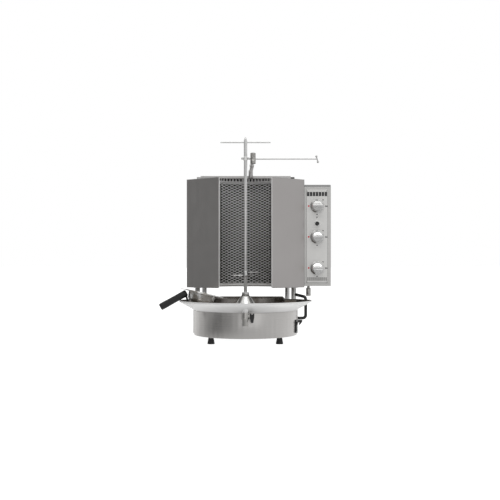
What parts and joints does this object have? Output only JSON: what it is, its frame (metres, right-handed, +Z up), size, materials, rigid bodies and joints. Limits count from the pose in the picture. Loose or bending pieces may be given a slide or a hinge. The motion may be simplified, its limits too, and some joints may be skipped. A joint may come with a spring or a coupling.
{
  "type": "vertical rotisserie broiler",
  "caption": "Gas vertical rotisserie broiler: sliding burner housing with wings and mesh guard, motor driven spit, drip pan with drain tap, control box and scoop.",
  "frame": {"origin": "on the counter, in the middle of the object's footprint box; the spit's axis stands 6.0 mm to the left of it and 59.5 mm in front of it", "axes": "+Z up along the spit, -Y towards the user, +X to the user's right, where the control box is"},
  "size_m": [0.716, 0.6729, 0.8525],
  "materials": {
    "brushed_steel_base": "vertical brushed stainless sheet, light handling marks",
    "wing_steel": "fine brushed stainless shields, heat dulled",
    "panel_steel": "brushed stainless control panel",
    "pan_steel": "polished stainless drip pan with swirl wear",
    "polished_steel": "polished stainless bar",
    "galvanised": "plain zinc plated internal steel",
    "mesh_steel": "expanded stainless metal, heat tinted",
    "ceramic": "porous infrared burner ceramic",
    "burner_steel": "aluminised burner sheet, heat tinted",
    "knob_metal": "polished cast knob",
    "black_plastic": "moulded black plastic",
    "black_coating": "black powder coat",
    "rubber_black": "black rubber",
    "brass_fitting": "turned brass",
    "fitting_steel": "turned plated steel",
    "aluminium_cast": "die cast gearbox and motor",
    "bronze": "sintered bronze bearing",
    "screw_steel": "zinc plated screws"
  },
  "bodies": {
    "base": {"base_shell": "brushed_steel_base", "base_bottom_plate": "galvanised", "base_deck": "brushed_steel_base", "rubber_feet": "rubber_black", "base_screws": "screw_steel", "carriage_rails": "galvanised", "gearbox": "aluminium_cast", "motor_can": "aluminium_cast", "shaft_bearing": "bronze", "switch_plate": "black_plastic", "cable_gland": "black_plastic"},
    "motor_rocker": {"switch_rocker": "black_plastic"},
    "carriage_lock": {"lock_lever": "black_plastic"},
    "pan": {"drip_pan": "pan_steel", "pan_cone": "pan_steel", "drain_valve": "fitting_steel"},
    "drain_tap": {"drain_lever": "black_plastic"},
    "scoop": {"scoop_bowl": "polished_steel", "scoop_handle": "black_plastic"},
    "drive": {"drive_shaft": "polished_steel", "drive_cup": "polished_steel"},
    "spit": {"spit_rod": "polished_steel", "spit_collar": "polished_steel", "spit_t_bar": "polished_steel", "spit_spider": "polished_steel"},
    "burner_carriage": {"carriage_frame": "galvanised", "support_posts": "polished_steel", "handle_bar": "black_coating", "housing_floor": "wing_steel", "outer_casing": "wing_steel", "shield_left": "wing_steel", "shield_right": "wing_steel", "roof_lid": "wing_steel", "roof_cap": "panel_steel", "slotted_band": "mesh_steel", "mesh_guard": "mesh_steel", "panel_screws": "screw_steel", "burner_lower": "burner_steel", "burner_middle": "burner_steel", "burner_upper": "burner_steel", "ceramic_plaques": "ceramic", "gas_valves": "brass_fitting", "injector_pipes": "brass_fitting", "gas_manifold": "galvanised", "gas_inlet": "fitting_steel", "control_box": "panel_steel", "face_plate": "panel_steel", "igniter_housing": "fitting_steel", "arm_post": "wing_steel"},
    "top_arm": {"arm_tube": "polished_steel", "clamp_head": "fitting_steel"},
    "clamp_screw": {"clamp_knob": "fitting_steel"},
    "spit_fork": {"release_rod": "polished_steel"},
    "igniter": {"igniter_button": "black_plastic"},
    "stem_lower": {"valve_stem_lower": "brass_fitting"},
    "gas_knob_lower": {"knob_lower": "knob_metal"},
    "stem_middle": {"valve_stem_middle": "brass_fitting"},
    "gas_knob_middle": {"knob_middle": "knob_metal"},
    "stem_upper": {"valve_stem_upper": "brass_fitting"},
    "gas_knob_upper": {"knob_upper": "knob_metal"}
  },
  "joints": [
    {"name": "spit_spin", "type": "hinge", "parent": "base", "child": "drive", "pos_m": [-0.00601, -0.0595, 0.15], "axis": [0, 0, 1], "continuous": true},
    {"name": "spit_lift", "type": "slide", "parent": "drive", "child": "spit", "axis": [0, 0, 1], "range_m": [0, 0.05]},
    {"name": "pan_lift", "type": "slide", "parent": "base", "child": "pan", "axis": [0, 0, 1], "range_m": [0, 0.04]},
    {"name": "drain_turn", "type": "hinge", "parent": "pan", "child": "drain_tap", "pos_m": [0.01399, -0.2945, 0.119], "axis": [-1, 0, 0], "range_deg": [0, 90]},
    {"name": "scoop_lift", "type": "slide", "parent": "pan", "child": "scoop", "axis": [0, 0, 1], "range_m": [0, 0.15]},
    {"name": "rocker_tip", "type": "hinge", "parent": "base", "child": "motor_rocker", "pos_m": [0.20456, -0.11592, 0.064], "axis": [0.2588, 0.9659, 0], "range_deg": [-14, 0]},
    {"name": "lock_turn", "type": "hinge", "parent": "base", "child": "carriage_lock", "pos_m": [0.21499, 0.0165, 0.073], "axis": [1, 0, 0], "range_deg": [0, 75]},
    {"name": "carriage_slide", "type": "slide", "parent": "base", "child": "burner_carriage", "axis": [0, 1, 0], "range_m": [0, 0.045]},
    {"name": "arm_slide", "type": "slide", "parent": "burner_carriage", "child": "top_arm", "axis": [0, 1, 0], "range_m": [-0.045, 0]},
    {"name": "clamp_turn", "type": "hinge", "parent": "top_arm", "child": "clamp_screw", "pos_m": [0.02549, -0.0535, 0.77], "axis": [0, 0, 1], "range_deg": [0, 180]},
    {"name": "fork_swing", "type": "hinge", "parent": "top_arm", "child": "spit_fork", "pos_m": [0.01399, -0.0465, 0.762], "axis": [-1, 0, 0], "range_deg": [0, 90]},
    {"name": "igniter_push", "type": "slide", "parent": "burner_carriage", "child": "igniter", "axis": [0, 1, 0], "range_m": [0, 0.005], "stiffness_N_per_m": 800, "springref_m": -0.004},
    {"name": "valve_turn_lower", "type": "hinge", "parent": "burner_carriage", "child": "stem_lower", "pos_m": [0.29869, -0.0195, 0.303], "axis": [0, 1, 0], "range_deg": [0, 270]},
    {"name": "knob_push_lower", "type": "slide", "parent": "stem_lower", "child": "gas_knob_lower", "axis": [0, 1, 0], "range_m": [0, 0.003], "stiffness_N_per_m": 1200, "springref_m": -0.003},
    {"name": "valve_turn_middle", "type": "hinge", "parent": "burner_carriage", "child": "stem_middle", "pos_m": [0.29869, -0.0195, 0.4356], "axis": [0, 1, 0], "range_deg": [0, 270]},
    {"name": "knob_push_middle", "type": "slide", "parent": "stem_middle", "child": "gas_knob_middle", "axis": [0, 1, 0], "range_m": [0, 0.003], "stiffness_N_per_m": 1200, "springref_m": -0.003},
    {"name": "valve_turn_upper", "type": "hinge", "parent": "burner_carriage", "child": "stem_upper", "pos_m": [0.29869, -0.0195, 0.567], "axis": [0, 1, 0], "range_deg": [0, 270]},
    {"name": "knob_push_upper", "type": "slide", "parent": "stem_upper", "child": "gas_knob_upper", "axis": [0, 1, 0], "range_m": [0, 0.003], "stiffness_N_per_m": 1200, "springref_m": -0.003}
  ],
  "couplings": [
    {"joint": "arm_slide", "follows": "carriage_slide", "ratio": -1}
  ]
}
